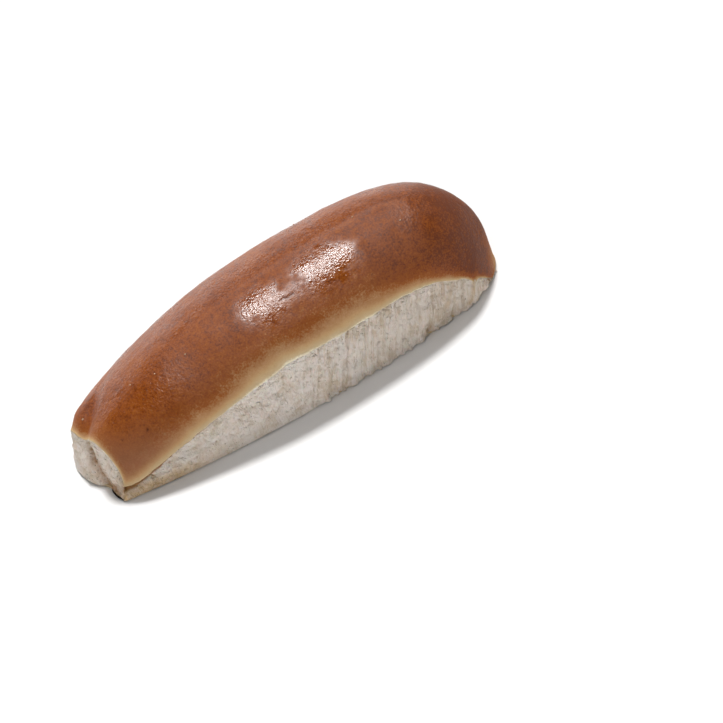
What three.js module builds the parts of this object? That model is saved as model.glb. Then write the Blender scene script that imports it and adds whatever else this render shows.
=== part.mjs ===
// A hot dog bun from a row that was baked touching and then pulled apart. Brown crust covers the top
// and wraps down the right end. Both long sides and the left end are torn crumb.
// Millimetres: X runs along the bun, Z is up, and the torn side that shows best faces -Y.
// The bun lies flat on Z = 0, with its origin under the middle of its box.

import * as THREE from 'three';
import { mergeVertices } from 'three/addons/utils/BufferGeometryUtils.js';

// ---- Driving dimensions ----

const LENGTH = 152;
const HALF = LENGTH / 2;

// A profile gives one size of the cross-section along the bun. It is greatest at the place `at`, a
// fraction of the half length, and falls to `left` and `right` with the powers given. It stays at
// `right` beyond the place `end`.
const CROWN = { left: 18.2, fullest: 45, right: 26.5, at: 0.23, end: 1, leftPower: 1.8, rightPower: 3.6 };
const FRONT = { left: 16.8, fullest: 23.7, right: 14.9, at: 0.02, end: 1, leftPower: 1.75, rightPower: 1.75 };
const BACK = { left: 17.5, fullest: 23, right: 14.4, at: 0.02, end: 1, leftPower: 1.75, rightPower: 1.75 };
const FRONT_TEAR = { left: 3, fullest: 21.7, right: 1, at: -0.08, end: 0.92, leftPower: 1.12, rightPower: 4.7 };
const BACK_TEAR = { left: 8, fullest: 20, right: 1, at: -0.15, end: 0.9, leftPower: 1.5, rightPower: 3.6 };

const DOME_POWER = 2.25; // the section's superellipse: 2 is an ellipse, more is squarer
const SADDLE = { depth: 1.4, at: 0.1, width: 0.3 }; // a slight dip in the crown, just right of the middle
const SHOULDER = { reach: 13, inset: 1.5 }; // how the sides draw in towards the left end
const TIP = { highReach: 35, highPower: 4.7, wideReach: 17.7, widePower: 1.75, high: 0.12, wide: 0.15 };
const LEFT_END = { reach: 30, bulge: 7.6, foremost: 8.5, lean: 4 }; // the torn end's plan curve and slope

const EDGE_WAVE = { high: 0.5, long: 6 }; // the crust's lower edge wanders up and down
const EDGE_LIP = { deep: 0.5, from: 0.45, to: 0.85 }; // the crust stands out over the crumb below it
const TEAR_RELIEF = { deep: 0.55, long: 5.5, high: 3.4 }; // lumps of the torn crumb
const CRUST_RELIEF = { deep: 0.3, long: 13, wide: 10 }; // the crust's broad unevenness
const FOLD = { deep: 1.5, wide: 1.7, from: -75, to: -56, y: -6, drift: 0.53, fall: 8.5, notch: 20 };
const BASE_EDGE = 0.35; // the underside is this much narrower all round

const ALONG = 72; // steps of the grid along, across and up the bun
const ACROSS = 20;
const UP = 8;

const CRUST_COLOR = '#8a5430';
const CRUST_ROUGHNESS = 0.38;

// ---- Helpers ----

const clamp01 = (value) => Math.min(Math.max(value, 0), 1);
const mix = (a, b, share) => a + (b - a) * share;
const smooth = (from, to, value) => THREE.MathUtils.smoothstep(value, from, to);

// A quarter arc that climbs from 0 to 1. Power 2 is round, and more is squarer.
const arc = (share, power) => (1 - (1 - clamp01(share)) ** power) ** (1 / power);

// A value that wanders between -1 and 1 as a and b change, from three waves that never line up.
function wander(a, b, seed) {
  const first = Math.sin(a + seed);
  const second = Math.sin(0.63 * a + 1.71 * b + 2.4 * seed);
  const third = Math.sin(1.57 * b - 0.48 * a + 4.1 * seed);
  return (first + second + third) / 3;
}

function profile(place, { left, fullest, right, at, end, leftPower, rightPower }) {
  if (place < at) return mix(fullest, left, ((at - place) / (at + 1)) ** leftPower);
  return mix(fullest, right, clamp01((place - at) / (end - at)) ** rightPower);
}

// ---- The cross-section at a place along the bun, from -1 at the left end to 1 at the right tip ----

function section(place) {
  const fromLeft = (1 + place) * HALF;
  const fromRight = (1 - place) * HALF;
  const tipHigh = mix(TIP.high, 1, arc(fromRight / TIP.highReach, TIP.highPower));
  const tipWide = mix(TIP.wide, 1, arc(fromRight / TIP.wideReach, TIP.widePower));
  const inset = SHOULDER.inset * (1 - arc(fromLeft / SHOULDER.reach, 2));
  const saddle = SADDLE.depth * Math.exp(-(((place - SADDLE.at) / SADDLE.width) ** 2));
  const crown = (profile(place, CROWN) - saddle) * tipHigh;
  const wave = EDGE_WAVE.high * smooth(0, 15, fromRight);
  const tear = (sizes, seed) =>
    Math.min(profile(place, sizes) + wave * wander((place * HALF) / EDGE_WAVE.long, 0, seed), 0.8 * crown);
  return {
    crown,
    front: (profile(place, FRONT) - inset) * tipWide,
    back: (profile(place, BACK) - inset) * tipWide,
    frontTear: tear(FRONT_TEAR, 1.3),
    backTear: tear(BACK_TEAR, 5.2),
  };
}

// ---- A point of the bun's surface ----
// along and across run from -1 to 1, and up from 0 at the underside to 1 on the crust.

function surfacePoint(along, across, up) {
  // Rows crowd together towards both ends, and towards the crust's edge on the torn faces.
  const place = mix(along, Math.sin((along * Math.PI) / 2), 0.75);
  const height = 1 - (1 - up) ** 1.4;
  const cut = section(place);
  const halfWidth = across < 0 ? cut.front : cut.back;

  // Straight across the underside, and round a superellipse over the crust.
  const angle = ((1 + across) * Math.PI) / 2;
  const roundness = 2 / DOME_POWER;
  const tearHere = mix(cut.frontTear, cut.backTear, (1 + across) / 2);
  const yUnder = across * (halfWidth - BASE_EDGE);
  const yOver = -Math.sign(Math.cos(angle)) * Math.abs(Math.cos(angle)) ** roundness * halfWidth;
  const zOver = tearHere + (cut.crown - tearHere) * Math.abs(Math.sin(angle)) ** roundness;
  const point = new THREE.Vector3(place * HALF, mix(yUnder, yOver, arc(height, 4)), zOver * height);

  shapeLeftEnd(point, cut);
  roughenTears(point, along, across, height);
  roughenCrust(point, across, height);
  pressFold(point);
  return point;
}

// The left end curves round in plan, foremost a little behind the middle, and leans back as it rises.
function shapeLeftEnd(point, cut) {
  const near = clamp01(1 - (point.x + HALF) / LEFT_END.reach) ** 2;
  const behind = point.y - LEFT_END.foremost;
  const sideways = behind / (behind < 0 ? cut.front + LEFT_END.foremost : cut.back - LEFT_END.foremost + 1);
  point.x += near * (LEFT_END.bulge * sideways ** 2 + (LEFT_END.lean * point.z) / Math.max(cut.crown, 1));
}

// Torn crumb is lumpy, and it stands a little back under the crust's edge.
function roughenTears(point, along, across, height) {
  const inside = Math.sqrt(Math.max(4 * height * (1 - height), 0));
  const lip = height < 1 ? EDGE_LIP.deep * smooth(EDGE_LIP.from, EDGE_LIP.to, height) : 0;
  const side = Math.sign(across) * across ** 6 * smooth(1, 0.9, along);
  const end = smooth(-0.93, -1, along);
  const up = point.z / TEAR_RELIEF.high;
  const sideLumps = wander(point.x / TEAR_RELIEF.long, up, 3 + Math.sign(across));
  const endLumps = wander(point.y / TEAR_RELIEF.long, up, 7);
  point.y += side * (TEAR_RELIEF.deep * inside * sideLumps - lip);
  point.x -= end * (TEAR_RELIEF.deep * inside * endLumps - lip);
}

function roughenCrust(point, across, height) {
  const top = smooth(0.7, 1, height) * (1 - across ** 4);
  point.z += top * CRUST_RELIEF.deep * wander(point.x / CRUST_RELIEF.long, point.y / CRUST_RELIEF.wide, 2);
}

// A fold starts at the foot of the left end, climbs it, notches the crust's edge and fades along the top.
function pressFold(point) {
  const below = clamp01(1 - point.z / FOLD.notch);
  const foldY = FOLD.y + FOLD.drift * Math.max(point.x - FOLD.from, 0) - FOLD.fall * below ** 1.2;
  const fade = 1 - smooth(FOLD.from + 4, FOLD.to, point.x);
  const depth = FOLD.deep * fade * Math.exp(-(((point.y - foldY) / FOLD.wide) ** 2));
  point.x += 0.8 * depth;
  point.z -= depth * (1 - below) ** 2;
}

// ---- The bun ----

function bunGeometry() {
  const box = new THREE.BoxGeometry(2, 2, 1, ALONG, ACROSS, UP);
  box.deleteAttribute('normal');
  box.deleteAttribute('uv');
  const geometry = mergeVertices(box, 1e-3);
  const positions = geometry.attributes.position;
  for (let i = 0; i < positions.count; i++) {
    const point = surfacePoint(positions.getX(i), positions.getY(i), positions.getZ(i) + 0.5);
    positions.setXYZ(i, point.x, point.y, point.z);
  }
  geometry.computeBoundingBox();
  const middle = geometry.boundingBox.getCenter(new THREE.Vector3());
  geometry.translate(-middle.x, -middle.y, -geometry.boundingBox.min.z);
  geometry.computeVertexNormals();
  return geometry;
}

function bun() {
  const crust = new THREE.MeshStandardMaterial({ color: CRUST_COLOR, roughness: CRUST_ROUGHNESS, metalness: 0 });
  const mesh = new THREE.Mesh(bunGeometry(), crust);
  mesh.name = 'hot_dog_bun';
  return mesh;
}

const model = new THREE.Group();
model.add(bun());

export default model;
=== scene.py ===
"""A hot dog bun with torn sides, on a pale floor.

The bun is made of three closed meshes that fit together: the crust over the top, the crumb that shows on
both long sides and the left end, and the thin crust underneath. Small shreds of crumb cling to the torn
faces, and a few pale specks are baked onto the crust. Shapes are worked out in millimetres, and meshes are
made in metres.
"""

import math

import bmesh
import bpy
import numpy as np
from bpy.props import FloatProperty, FloatVectorProperty, IntProperty, PointerProperty
from mathutils import Matrix, Vector


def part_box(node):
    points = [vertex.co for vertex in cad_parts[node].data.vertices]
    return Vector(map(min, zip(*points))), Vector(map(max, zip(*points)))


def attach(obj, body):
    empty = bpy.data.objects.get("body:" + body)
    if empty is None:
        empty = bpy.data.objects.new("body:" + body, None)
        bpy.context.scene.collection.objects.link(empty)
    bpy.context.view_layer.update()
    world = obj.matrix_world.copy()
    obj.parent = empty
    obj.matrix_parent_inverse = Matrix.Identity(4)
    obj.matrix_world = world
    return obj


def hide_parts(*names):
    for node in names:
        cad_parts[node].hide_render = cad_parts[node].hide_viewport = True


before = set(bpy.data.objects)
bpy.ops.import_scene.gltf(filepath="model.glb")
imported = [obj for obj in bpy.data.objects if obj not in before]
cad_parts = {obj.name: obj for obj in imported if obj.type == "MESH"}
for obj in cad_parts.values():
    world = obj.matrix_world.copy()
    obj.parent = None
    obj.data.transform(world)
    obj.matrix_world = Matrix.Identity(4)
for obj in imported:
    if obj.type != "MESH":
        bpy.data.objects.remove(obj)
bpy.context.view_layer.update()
NODE = "hot_dog_bun"
LOW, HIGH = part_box(NODE)

bl_info = {
    "name": "Hot Dog Bun",
    "version": (1, 0, 0),
    "blender": (4, 5, 0),
    "location": "3D View > Sidebar > Bun",
    "description": "Builds a hot dog bun with a glossy brown crust and torn, crumbly sides",
    "category": "Add Mesh",
}

MM = 0.001

# ---- The bun's form, in millimetres ----

LENGTH = 152.0
HALF = LENGTH / 2

# A profile gives one size of the cross-section along the bun, greatest at the place `at` and falling to
# `left` and `right`. Places run from -1 at the torn left end to 1 at the rounded right tip.
CROWN = {"left": 18.2, "fullest": 45.0, "right": 26.5, "at": 0.23, "end": 1.0, "powers": (1.8, 3.6)}
FRONT = {"left": 16.8, "fullest": 23.7, "right": 14.9, "at": 0.02, "end": 1.0, "powers": (1.75, 1.75)}
BACK = {"left": 17.5, "fullest": 23.0, "right": 14.4, "at": 0.02, "end": 1.0, "powers": (1.75, 1.75)}
FRONT_TEAR = {"left": 3.0, "fullest": 21.7, "right": 1.0, "at": -0.08, "end": 0.92, "powers": (1.12, 4.7)}
BACK_TEAR = {"left": 8.0, "fullest": 20.0, "right": 1.0, "at": -0.15, "end": 0.9, "powers": (1.5, 3.6)}
TEAR_TOP = 0.8  # a tear stays below this share of the crown

DOME_POWER = 2.25  # the section's superellipse: 2 is an ellipse, more is squarer
FOOT_POWER = 4.0  # how square the bun is at the foot of its sides
SADDLE = {"depth": 1.4, "at": 0.1, "width": 0.3}
SHOULDER = {"reach": 13.0, "inset": 1.5}
TIP = {
    "high": 0.04,
    "high_reach": 35.0,
    "high_power": 4.7,
    "wide": 0.02,
    "wide_reach": 17.7,
    "wide_power": 1.75,
}
LEFT_END = {"reach": 30.0, "bulge": 7.6, "foremost": 8.5, "lean": 4.0}
EDGE_WAVE = {"high": 0.5, "long": 6.0, "fade": 15.0}
TEAR_RELIEF = {"deep": 0.55, "long": 5.5, "high": 3.4}
CRUST_RELIEF = {"deep": 0.3, "long": 13.0, "wide": 10.0, "height": (0.7, 1.0)}

# The left end's front corner stands out, and its foot is hollow beside the corner.
CORNER = {"lift": 1.3, "reach": 5.0, "out": (1.0, 1.1), "height": (0.95, 0.2), "sideways": (-0.55, -1.0)}
HOLLOW = {"deep": 0.7, "at": -0.4, "wide": 0.3}
# The crust hangs over the back half of the left end, between two limits across the bun.
END_DROOP = {"deep": 2.3, "reach": 3.0, "front": (-3.2, 2.5), "back": (19.0, 11.0)}

# A fold runs over the left end. It starts as a groove in the torn face, given as heights and places across.
FOLD = {"deep": 1.4, "wide": 3.2, "in": 0.6, "x": -70.2, "slope": 0.82, "fade": (-66.0, -46.0), "high": 20.0}
GROOVE_HEIGHTS = (0.0, 2.5, 6.2, 9.4, 13.0, 16.3, 20.0)
GROOVE_PLACES = (-7.4, -5.9, -4.7, -3.4, -1.7, -0.6, -0.9)
LOBES = ({"y": -8.0, "wide": 4.5, "high": 1.9}, {"y": 7.0, "wide": 5.0, "high": 0.5})
LOBE_NEAR = {"reach": 15.0, "high": (8.0, 16.0)}

# A strip of skin bridges the tear near the right end, and draws the crust's edge down.
BRIDGE = {"top": (61.9, -17.0, 8.0), "foot": (57.6, -18.6, 2.5), "wide": 1.0, "out": 0.45}
BRIDGE_DROOP = {"deep": 1.6, "wide": 1.2, "fade": 2.0}

STRAND_LEAN = 0.34  # how far strands of crumb lean along the bun as they climb
CORE = {"left": -52.0, "right": 52.0, "high": 5.0}  # a line inside the bun that thicknesses point to


def clamp01(value):
    return np.clip(value, 0.0, 1.0)


def smooth(start, end, value):
    share = clamp01((value - start) / (end - start))
    return share * share * (3.0 - 2.0 * share)


def mix(a, b, share):
    return a + (b - a) * share


def bell(away, wide):
    """1 at no distance, and near 0 beyond about two widths."""
    return np.exp(-((away / wide) ** 2))


def arc(share, power):
    """A quarter arc that climbs from 0 to 1: power 2 is round, and more is squarer."""
    return (1.0 - (1.0 - clamp01(share)) ** power) ** (1.0 / power)


def wander(a, b, seed):
    """A value that wanders between -1 and 1, from three waves that never line up."""
    first = np.sin(a + seed)
    second = np.sin(0.63 * a + 1.71 * b + 2.4 * seed)
    third = np.sin(1.57 * b - 0.48 * a + 4.1 * seed)
    return (first + second + third) / 3.0


def noise(points, size, seed):
    """Smooth random values between -1 and 1 with lumps of about `size`, for an array of points."""
    cells = 32
    table = np.random.default_rng(seed).uniform(-1.0, 1.0, (cells, cells, cells))
    scaled = np.asarray(points, float) / size
    corner = np.floor(scaled).astype(int)
    share = scaled - corner
    share = share * share * (3.0 - 2.0 * share)
    total = np.zeros(scaled.shape[:-1])
    for dx in (0, 1):
        for dy in (0, 1):
            for dz in (0, 1):
                weight = np.ones_like(total)
                for axis, step in enumerate((dx, dy, dz)):
                    part = share[..., axis]
                    weight = weight * (part if step else 1.0 - part)
                cell = (corner + (dx, dy, dz)) % cells
                total += weight * table[cell[..., 0], cell[..., 1], cell[..., 2]]
    return total


def layered(points, layers):
    """The sum of noises given as depth, size and seed."""
    return sum(deep * noise(points, size, seed) for deep, size, seed in layers)


def profile(place, sizes):
    at, end = sizes["at"], sizes["end"]
    to_left = clamp01((at - place) / (at + 1.0)) ** sizes["powers"][0]
    to_right = clamp01((place - at) / (end - at)) ** sizes["powers"][1]
    left_side = mix(sizes["fullest"], sizes["left"], to_left)
    right_side = mix(sizes["fullest"], sizes["right"], to_right)
    return np.where(place < at, left_side, right_side)


def section(place):
    """The cross-section's sizes at places along the bun."""
    from_left = (1.0 + place) * HALF
    from_right = (1.0 - place) * HALF
    tip_high = mix(TIP["high"], 1.0, arc(from_right / TIP["high_reach"], TIP["high_power"]))
    tip_wide = mix(TIP["wide"], 1.0, arc(from_right / TIP["wide_reach"], TIP["wide_power"]))
    inset = SHOULDER["inset"] * (1.0 - arc(from_left / SHOULDER["reach"], 2.0))
    saddle = SADDLE["depth"] * bell(place - SADDLE["at"], SADDLE["width"])
    crown = (profile(place, CROWN) - saddle) * tip_high
    wave = EDGE_WAVE["high"] * smooth(0.0, EDGE_WAVE["fade"], from_right)
    lift = CORNER["lift"] * bell(from_left, CORNER["reach"])

    def tear(sizes, seed, raised):
        edge = profile(place, sizes) + wave * wander(place * HALF / EDGE_WAVE["long"], 0.0, seed)
        return np.minimum(edge + raised, TEAR_TOP * crown)

    return {
        "crown": crown,
        "front": (profile(place, FRONT) - inset) * tip_wide,
        "back": (profile(place, BACK) - inset) * tip_wide,
        "front_tear": tear(FRONT_TEAR, 1.3, lift),
        "back_tear": tear(BACK_TEAR, 5.2, 0.0),
    }


def shape_left_end(points, cut):
    """The left end curves round in plan and leans back as it rises."""
    near = clamp01(1.0 - (points[..., 0] + HALF) / LEFT_END["reach"]) ** 2
    foremost = LEFT_END["foremost"]
    behind = points[..., 1] - foremost
    to_back = np.maximum(cut["back"] - foremost, 0) + 1.0
    sideways = behind / np.where(behind < 0, cut["front"] + foremost, to_back)
    lean = LEFT_END["lean"] * points[..., 2] / np.maximum(cut["crown"], 1.0)
    points[..., 0] += near * (LEFT_END["bulge"] * sideways**2 + lean)


def roughen_crust(points, height, sideways):
    top = smooth(*CRUST_RELIEF["height"], height) * (1.0 - sideways**4)
    lumps = wander(points[..., 0] / CRUST_RELIEF["long"], points[..., 1] / CRUST_RELIEF["wide"], 2.0)
    points[..., 2] += top * CRUST_RELIEF["deep"] * lumps


def raise_lobes(points):
    """The crust swells on both sides of the fold."""
    near = bell(points[..., 0] + HALF, LOBE_NEAR["reach"]) * smooth(*LOBE_NEAR["high"], points[..., 2])
    for lobe in LOBES:
        points[..., 2] += lobe["high"] * near * bell(points[..., 1] - lobe["y"], lobe["wide"])


def fold_share(points, wide):
    """How near points are to the middle of the fold, from 0 to 1."""
    x, y, z = points[..., 0], points[..., 1], points[..., 2]
    middle = np.interp(z, GROOVE_HEIGHTS, GROOVE_PLACES) + FOLD["slope"] * np.maximum(x - FOLD["x"], 0.0)
    return (1.0 - smooth(*FOLD["fade"], x)) * bell(y - middle, wide)


def press_fold(points):
    below = clamp01(1.0 - points[..., 2] / FOLD["high"])
    depth = FOLD["deep"] * fold_share(points, FOLD["wide"])
    points[..., 0] += FOLD["in"] * depth
    points[..., 2] -= depth * (1.0 - below) ** 2


def skin(place, sideways, height):
    """Points of the bun's skin: sideways runs from -1 to 1, and height from 0 below to 1 on the crust."""
    place, sideways, height = np.broadcast_arrays(place, sideways, height)
    cut = section(place)
    half_width = np.where(sideways < 0, cut["front"], cut["back"])
    angle = (1.0 + sideways) * math.pi / 2.0
    roundness = 2.0 / DOME_POWER
    tear_here = mix(cut["front_tear"], cut["back_tear"], (1.0 + sideways) / 2.0)
    y_under = sideways * half_width
    y_over = -np.sign(np.cos(angle)) * np.abs(np.cos(angle)) ** roundness * half_width
    z_over = tear_here + (cut["crown"] - tear_here) * np.abs(np.sin(angle)) ** roundness
    points = np.stack([place * HALF, mix(y_under, y_over, arc(height, FOOT_POWER)), z_over * height], axis=-1)
    shape_left_end(points, cut)
    roughen_crust(points, height, sideways)
    raise_lobes(points)
    press_fold(points)
    return points


def droop_end(points, from_end, share):
    """The crust hangs low over the back half of the left end, and the crumb is squashed below it."""
    y = points[..., 1]
    hang = smooth(*END_DROOP["front"], y) * smooth(*END_DROOP["back"], y)
    hang = hang * bell(from_end, END_DROOP["reach"])
    points[..., 2] -= END_DROOP["deep"] * hang * share


def square_corner(points, from_left, sideways, height):
    """The foot of the left end is squarer at its front corner, and hollow beside it."""
    low = bell(from_left, CORNER["reach"]) * smooth(*CORNER["height"], height)
    corner = low * smooth(*CORNER["sideways"], sideways)
    hollow = low * bell(sideways - HOLLOW["at"], HOLLOW["wide"])
    points[..., 0] += HOLLOW["deep"] * hollow - CORNER["out"][0] * corner
    points[..., 1] -= CORNER["out"][1] * corner


def even_rows(count):
    """Places along the bun in steps that are equal along its skin, so the blunt tip gets enough rows."""
    fine = 1.0 - 2.0 * np.linspace(1.0, 0.0, 20001) ** 3
    cut = section(fine)
    steps = np.hypot(np.diff(fine) * HALF, np.hypot(np.diff(cut["crown"]), np.diff(cut["front"])))
    walked = np.concatenate([[0.0], np.cumsum(steps)])
    return np.interp(np.linspace(0.0, walked[-1], count + 1), walked, fine)


def even_columns(count, crowding):
    """Values from -1 to 1 that crowd together towards both ends."""
    plain = np.linspace(-1.0, 1.0, count + 1)
    return mix(plain, np.sin(plain * math.pi / 2.0), crowding)


def towards_core(points):
    """Unit vectors from the skin to the line inside the bun."""
    core = np.zeros_like(points)
    core[..., 0] = np.clip(points[..., 0], CORE["left"], CORE["right"])
    core[..., 2] = CORE["high"]
    inward = core - points
    return inward / np.maximum(np.linalg.norm(inward, axis=-1, keepdims=True), 1e-6)


def frame_offset():
    """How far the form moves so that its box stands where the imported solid's does."""
    rows = even_rows(300)[:, None, None]
    columns = even_columns(120, 0.6)[None, :, None]
    points = skin(rows, columns, np.array([0.0, 0.5, 1.0])[None, None, :]).reshape(-1, 3)
    middle = (points.min(axis=0) + points.max(axis=0)) / 2.0
    target = (np.array(LOW) + np.array(HIGH)) / (2.0 * MM)
    return np.array([target[0] - middle[0], target[1] - middle[1], LOW[2] / MM])


OFFSET = frame_offset()


def to_metres(points):
    return (np.asarray(points) + OFFSET) * MM


# ---- Meshes ----


def quads(numbers, flip=False):
    """The quads between the points of a grid, given by their numbers."""
    loop = [numbers[:-1, :-1], numbers[1:, :-1], numbers[1:, 1:], numbers[:-1, 1:]]
    if flip:
        loop.reverse()
    return np.stack(loop, axis=-1).reshape(-1, 4).tolist()


def box_grid(along, across, up):
    """The six sides of a box of along x across x up cells: lattice indices of its points, and its quads."""
    shape = (along + 1, across + 1, up + 1)
    i, j, k = np.indices(shape)
    outside = (i % along == 0) | (j % across == 0) | (k % up == 0)
    number = np.full(shape, -1)
    number[outside] = np.arange(outside.sum())
    lattice = np.stack([i[outside], j[outside], k[outside]], axis=-1)
    faces = quads(number[:, :, -1]) + quads(number[:, :, 0], True)
    faces += quads(number[:, 0, :]) + quads(number[:, -1, :], True)
    faces += quads(number[0], True) + quads(number[-1])
    return lattice, faces


def shell_faces(shape, every):
    """Faces of a closed shell: a fine outer grid of points, then a coarse inner one that skips rows."""
    outer = np.arange(shape[0] * shape[1]).reshape(shape)
    coarse = outer[::every, ::every].shape
    inner = outer.size + np.arange(coarse[0] * coarse[1]).reshape(coarse)
    faces = quads(outer) + quads(inner, True)
    rims = (
        (outer[:, 0], inner[:, 0], False),
        (outer[:, -1], inner[:, -1], True),
        (outer[0], inner[0], True),
        (outer[-1], inner[-1], False),
    )
    for fine, rough, flip in rims:
        for step in range(len(rough) - 1):
            loop = [rough[step], rough[step + 1], *fine[step * every : (step + 1) * every + 1][::-1]]
            faces.append([int(number) for number in (loop[::-1] if flip else loop)])
    return faces


def new_piece(name, points, faces, attributes, material):
    """A smooth-shaded object in metres, with one value for each point under each attribute's name."""
    mesh = bpy.data.meshes.new(name)
    mesh.from_pydata(to_metres(points).tolist(), [], faces)
    mesh.polygons.foreach_set("use_smooth", np.ones(len(mesh.polygons), dtype=bool))
    for attribute_name, values in attributes.items():
        attribute = mesh.attributes.new(attribute_name, "FLOAT", "POINT")
        attribute.data.foreach_set("value", np.asarray(values, dtype=np.float32))
    mesh.materials.append(material)
    mesh.validate()
    mesh.update()
    piece = bpy.data.objects.new(name, mesh)
    bpy.context.scene.collection.objects.link(piece)
    return piece


def hand_over(piece):
    """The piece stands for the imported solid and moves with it."""
    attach(piece, "root")
    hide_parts(NODE)


# ---- Shader maths ----


class Shade:
    """A socket of a material. Arithmetic on it adds Math nodes to the material's tree."""

    def __init__(self, tree, socket):
        self.tree = tree
        self.socket = socket

    def math(self, operation, other):
        return node(self.tree, "ShaderNodeMath", {"operation": operation}, {0: self, 1: other})

    def __add__(self, other):
        return self.math("ADD", other)

    def __sub__(self, other):
        return self.math("SUBTRACT", other)

    def __rsub__(self, other):
        return node(self.tree, "ShaderNodeMath", {"operation": "SUBTRACT"}, {0: other, 1: self})

    def __mul__(self, other):
        return self.math("MULTIPLY", other)

    __radd__ = __add__
    __rmul__ = __mul__

    def step(self, start, end, low=0.0, high=1.0):
        """Goes smoothly from low to high as this value goes from start to end."""
        settings = {"interpolation_type": "SMOOTHSTEP"}
        inputs = {"Value": self, "From Min": start, "From Max": end, "To Min": low, "To Max": high}
        return node(self.tree, "ShaderNodeMapRange", settings, inputs)


def node(tree, kind, settings, inputs, output=0):
    """Adds a node: its settings first, then the values or links of its sockets. Returns one output."""
    made = tree.nodes.new(kind)
    for name, value in settings.items():
        if name == "stops":
            set_stops(made.color_ramp, value)
        else:
            setattr(made, name, value)
    for key, value in inputs.items():
        if isinstance(value, Shade):
            tree.links.new(value.socket, made.inputs[key])
        else:
            made.inputs[key].default_value = value
    return Shade(tree, made.outputs[output])


def set_stops(ramp, stops):
    while len(ramp.elements) > 1:
        ramp.elements.remove(ramp.elements[-1])
    for index, (position, colour) in enumerate(stops):
        element = ramp.elements[0] if index == 0 else ramp.elements.new(position)
        element.position = position
        element.color = (*colour[:3], 1.0)


def mix_colours(tree, share, first, second, blend="MIX"):
    settings = {"data_type": "RGBA", "blend_type": blend}
    return node(tree, "ShaderNodeMix", settings, {0: share, 6: first, 7: second}, output=2)


def rgba(colour):
    return (*colour[:3], 1.0)


def new_material(name, fixed):
    """A material with one Principled shader, whose unvarying sockets are set from `fixed`."""
    material = bpy.data.materials.new(name)
    material.use_nodes = True
    tree = material.node_tree
    principled = tree.nodes["Principled BSDF"]
    for socket, value in fixed.items():
        principled.inputs[socket].default_value = value
    return material, tree, principled


def place_of(tree, stretch=(1.0, 1.0, 1.0)):
    """Object coordinates, stretched along the axes."""
    coordinates = node(tree, "ShaderNodeTexCoord", {}, {}, output="Object")
    return node(tree, "ShaderNodeMapping", {}, {"Vector": coordinates, "Scale": stretch})


def grain(tree, place, size, detail=2.0, roughness=0.5):
    """Noise from 0 to 1 with lumps of about `size` metres."""
    inputs = {"Vector": place, "Scale": 1.0 / size, "Detail": detail, "Roughness": roughness}
    return node(tree, "ShaderNodeTexNoise", {"noise_dimensions": "3D"}, inputs)


def attribute(tree, name):
    return node(tree, "ShaderNodeAttribute", {"attribute_name": name}, {}, output="Fac")


def bump(tree, principled, height, distance, strength=1.0):
    """Roughens a material's surface by a height that varies over it."""
    inputs = {"Height": height, "Strength": strength, "Distance": distance}
    link(tree, node(tree, "ShaderNodeBump", {}, inputs), principled, "Normal")


def link(tree, shade, shader, socket):
    tree.links.new(shade.socket, shader.inputs[socket])


def srgb(red, green, blue):
    """A colour as linear light from its 0 to 255 screen values."""
    return tuple((value / 255.0) ** 2.2 for value in (red, green, blue))


# ---- What a user would change ----


def colour_property(name, description, default):
    return FloatVectorProperty(
        name=name, description=description, subtype="COLOR", size=3, min=0.0, max=1.0, default=default
    )


def length_property(name, description, default):
    return FloatProperty(
        name=name, description=description, unit="LENGTH", min=0.0, default=default, precision=5
    )


class BunSizes(bpy.types.PropertyGroup):
    crust_thickness: length_property("Crust thickness", "Thickness of the crust over the top", 0.9 * MM)
    lip_thickness: length_property("Lip thickness", "Thickness of the crust at its torn edge", 0.45 * MM)
    base_thickness: length_property("Base thickness", "Thickness of the crust underneath", 0.9 * MM)
    lip_flare: length_property("Lip flare", "How far the crust's torn edge flares out", 0.25 * MM)
    lip_overhang: length_property("Lip overhang", "How far the crumb stands back under the crust", 0.5 * MM)
    shred_length: length_property("Shred length", "Typical length of a clinging shred of crumb", 1.2 * MM)
    shred_density: FloatProperty(
        name="Shred density", description="Shreds on a square metre of torn crumb", min=0.0, default=5.0e5
    )
    seed: IntProperty(name="Seed", description="Seed of everything random", min=0, default=7)


class BunColours(bpy.types.PropertyGroup):
    crust_deep: colour_property("Deep crust", "The brownest freckles of the crust", srgb(107, 51, 11))
    crust_main: colour_property("Main crust", "Most of the crust", srgb(138, 69, 13))
    crust_brown: colour_property("Light crust", "Lighter freckles of the crust", srgb(153, 84, 24))
    crust_tan: colour_property("Tan crust", "Crust a little above the tear", srgb(197, 156, 110))
    crust_pale: colour_property("Pale crust", "Crust just above the tear", srgb(210, 186, 146))
    crust_edge: colour_property("Crust edge", "The thin torn edge of the crust", srgb(250, 238, 208))
    # A painted sheen: the greyish tone of the crust at the front of the left end, where it mirrors the bright
    # floor.
    crust_painted_sheen: colour_property("Dull crust", "Duller crust near the torn end", srgb(150, 99, 68))
    # Painted shade in the crust's creases and burst blisters.
    crease_shade_tint: colour_property("Crease", "Darkens the crust's creases and burst blisters", srgb(150, 120, 105))
    crumb_light: colour_property("Light crumb", "Most of the crumb", srgb(237, 226, 216))
    crumb_shade: colour_property("Dull crumb", "Denser, duller patches of the crumb", srgb(217, 199, 178))
    # Painted shade in the crumb's pits and holes, and over its right half.
    crumb_pit_shade: colour_property("Crumb pit", "Darkens the pits of the crumb", srgb(200, 180, 150))
    crumb_gold: colour_property(
        "Pressed crumb", "Golden crumb in the groove and at the foot", srgb(200, 166, 120)
    )
    # Brown crumb in the groove of the left end, and painted shade at its foot.
    scar_brown_and_shade: colour_property("Scar", "Browned crumb in the groove of the torn end", srgb(152, 110, 76))
    # Toasted crumb at the far left, and painted shadow under the crust's lip further right.
    seam: colour_property("Seam", "Toasted crumb under the crust's edge", srgb(150, 104, 56))
    base_gold: colour_property("Golden base", "The thin crust underneath", srgb(206, 180, 140))
    base_brown: colour_property("Brown base", "Browner patches underneath", srgb(184, 146, 100))


# ---- Materials ----


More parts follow.
